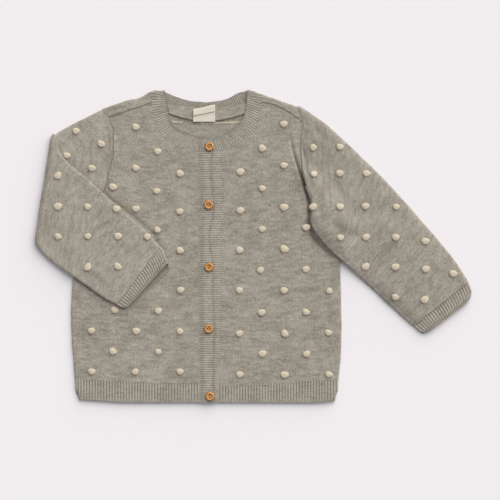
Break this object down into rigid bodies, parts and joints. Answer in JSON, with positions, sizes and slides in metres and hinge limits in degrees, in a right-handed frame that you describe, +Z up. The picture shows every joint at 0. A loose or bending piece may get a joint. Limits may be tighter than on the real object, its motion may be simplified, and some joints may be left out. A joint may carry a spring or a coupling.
{
  "type": "baby cardigan",
  "caption": "Fine-knit baby cardigan laid flat, one sleeve folded across the front, with ribbed edges, a round neck and a buttoned front band.",
  "frame": {"origin": "on the surface the garment lies on, under the middle of the body", "axes": "+X towards the wearer's left, along the long way across both sleeves; +Y from the hem to the neck; +Z up from the surface, through the thin way of the cloth"},
  "size_m": [0.4686, 0.335, 0.009],
  "materials": {
    "knit": "matt fine wool knit",
    "rib": "matt ribbed wool knit",
    "tape": "matt knitted facing",
    "label": "woven satin",
    "wood": "satin turned wood"
  },
  "bodies": {
    "root": {"back_panel": "knit", "front_right_panel": "knit", "front_left_panel": "knit", "sleeve_right": "knit", "sleeve_left": "knit", "cuff_right": "rib", "cuff_left": "rib", "hem_rib_back": "rib", "hem_rib_front_right": "rib", "hem_rib_front_left": "rib", "neckband": "rib", "button_band_right": "rib", "button_band_left": "rib", "neck_tape": "tape", "neck_label": "label", "button_1": "wood", "button_2": "wood", "button_3": "wood", "button_4": "wood", "button_5": "wood"}
  },
  "joints": []
}
